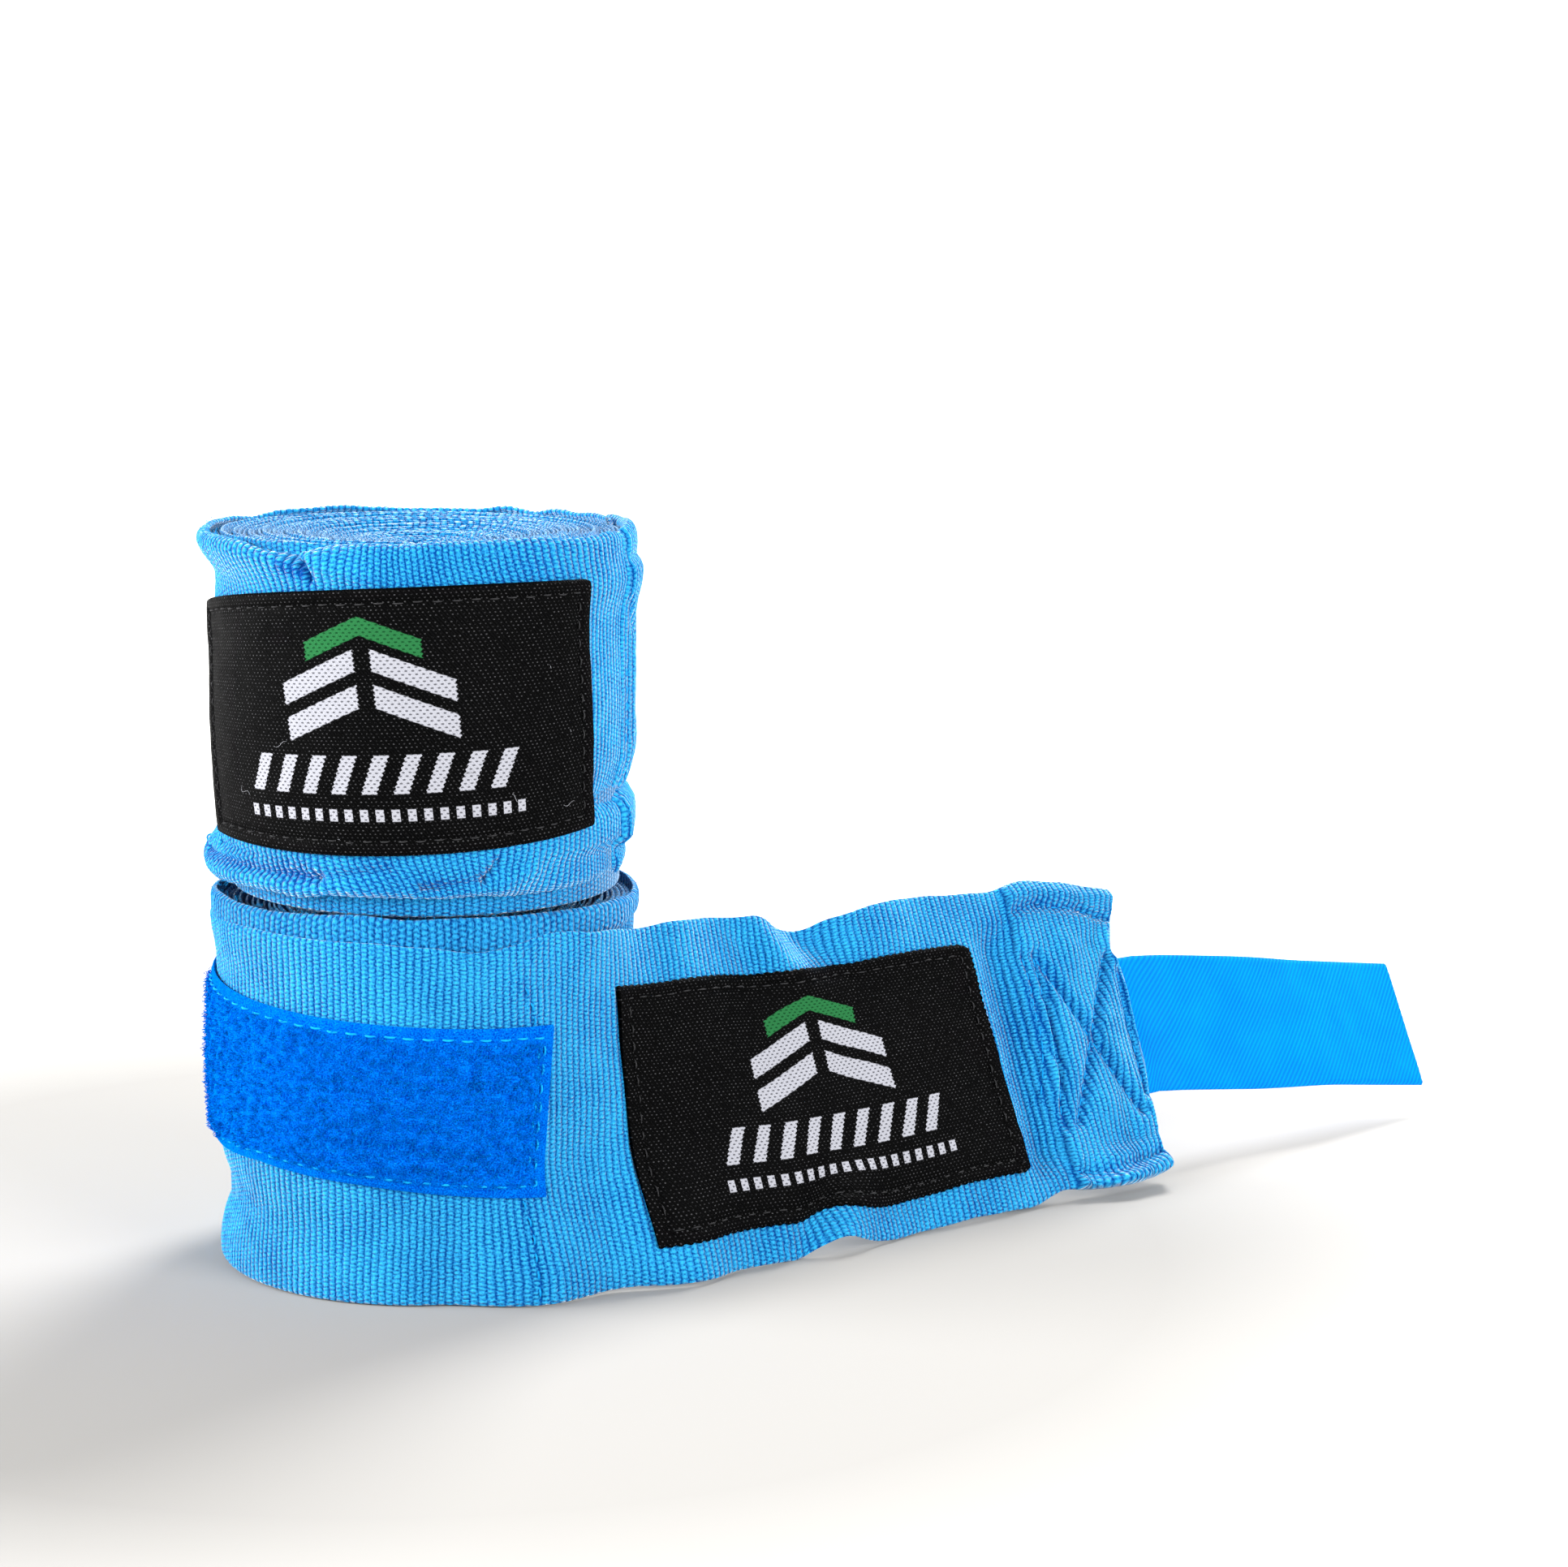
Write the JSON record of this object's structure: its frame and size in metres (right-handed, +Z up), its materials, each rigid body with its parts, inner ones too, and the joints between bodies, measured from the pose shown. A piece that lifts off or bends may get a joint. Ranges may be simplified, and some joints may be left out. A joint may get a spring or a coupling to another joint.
{
  "type": "hand wrap",
  "caption": "Rolled elastic hand wraps for boxing: a closed roll standing on one whose labelled tail and hook tab are pulled out and wind back on to the roll.",
  "frame": {"origin": "centre of the lower roll's base, on the surface it stands on", "axes": "+Z up along the common axis of both rolls; -Y is the front, with the upper label; the tail leaves towards +X and back"},
  "size_m": [0.1864, 0.12, 0.1015],
  "materials": {
    "band": "semi-elastic ribbed cotton, matt, light blue",
    "pile": "napped loop pile, deep blue",
    "tape": "woven nylon hook tape, smooth back, azure",
    "label": null,
    "thread": "polyester sewing thread, blue",
    "webbing": "folded cotton webbing, blue"
  },
  "bodies": {
    "lower_roll": {"lower_wound_band": "band", "lower_thumb_loop": "webbing", "lower_loop_patch": "pile", "lower_patch_stitching": "thread", "lower_cross_seam": "thread"},
    "lower_tail_1": {"lower_tail_band_1": "band", "lower_label_1": "label"},
    "lower_tail_2": {"lower_tail_band_2": "band", "lower_label_2": "label"},
    "lower_tail_3": {"lower_tail_band_3": "band", "lower_label_3": "label"},
    "lower_tail_4": {"lower_tail_band_4": "band", "lower_label_4": "label"},
    "lower_tail_end": {"lower_end_fold": "band", "lower_box_stitching": "thread"},
    "lower_tab_root": {"lower_hook_tab_root": "tape"},
    "lower_tab_tip": {"lower_hook_tab_tip": "tape"},
    "upper_wrap": {"upper_wound_band": "band", "upper_thumb_loop": "webbing", "upper_outer_turn": "band", "upper_end_fold": "band", "upper_label": "label", "upper_label_stitching": "thread", "upper_loop_patch": "pile", "upper_patch_stitching": "thread", "upper_cross_seam": "thread", "upper_box_stitching": "thread"},
    "upper_tab": {"upper_hook_tab": "tape"}
  },
  "joints": [
    {"name": "upper_wrap_lift", "type": "slide", "parent": "lower_roll", "child": "upper_wrap", "axis": [0, 0, 1], "range_m": [0, 0.06]},
    {"name": "upper_tab_peel", "type": "hinge", "parent": "upper_wrap", "child": "upper_tab", "pos_m": [0.02715, 0.01568, 0.07625], "axis": [0, 0, -1], "range_deg": [0, 70]},
    {"name": "lower_tail_bend_1", "type": "hinge", "parent": "lower_roll", "child": "lower_tail_1", "pos_m": [0.02955, -0.01346, 0.02525], "axis": [0.1611, 0.2838, 0.9452], "range_deg": [0, 47.15]},
    {"name": "lower_tail_bend_2", "type": "hinge", "parent": "lower_tail_1", "child": "lower_tail_2", "pos_m": [0.04381, -0.00232, 0.02525], "axis": [0.0209, 0.4233, 0.9057], "range_deg": [0, 33.21]},
    {"name": "lower_tail_bend_3", "type": "hinge", "parent": "lower_tail_2", "child": "lower_tail_3", "pos_m": [0.05753, 0.0084, 0.02525], "axis": [-0.2504, 0.3205, 0.9135], "range_deg": [0, 33.76]},
    {"name": "lower_tail_bend_4", "type": "hinge", "parent": "lower_tail_3", "child": "lower_tail_4", "pos_m": [0.07013, 0.01825, 0.02525], "axis": [-0.2504, 0.3205, 0.9135], "range_deg": [0, 27.07]},
    {"name": "lower_tail_bend_5", "type": "hinge", "parent": "lower_tail_4", "child": "lower_tail_end", "pos_m": [0.0855, 0.03025, 0.02525], "axis": [-0.2504, 0.3205, 0.9135], "range_deg": [0, 45.31]},
    {"name": "lower_tail_bend_6", "type": "hinge", "parent": "lower_tail_end", "child": "lower_tab_root", "pos_m": [0.10678, 0.04688, 0.02525], "axis": [-0.0954, 0.2388, 0.9664], "range_deg": [0, 45.11]},
    {"name": "lower_tail_bend_7", "type": "hinge", "parent": "lower_tab_root", "child": "lower_tab_tip", "pos_m": [0.12938, 0.06453, 0.02096], "axis": [-0.0728, 0.5418, 0.8373], "range_deg": [0, 57.06]}
  ],
  "couplings": [
    {"joint": "lower_tail_bend_2", "follows": "lower_tail_bend_1", "ratio": 0.67254},
    {"joint": "lower_tail_bend_3", "follows": "lower_tail_bend_1", "ratio": 0.68428},
    {"joint": "lower_tail_bend_4", "follows": "lower_tail_bend_1", "ratio": 0.54224},
    {"joint": "lower_tail_bend_5", "follows": "lower_tail_bend_1", "ratio": 0.92924},
    {"joint": "lower_tail_bend_6", "follows": "lower_tail_bend_1", "ratio": 0.92501},
    {"joint": "lower_tail_bend_7", "follows": "lower_tail_bend_1", "ratio": 1.1784}
  ]
}
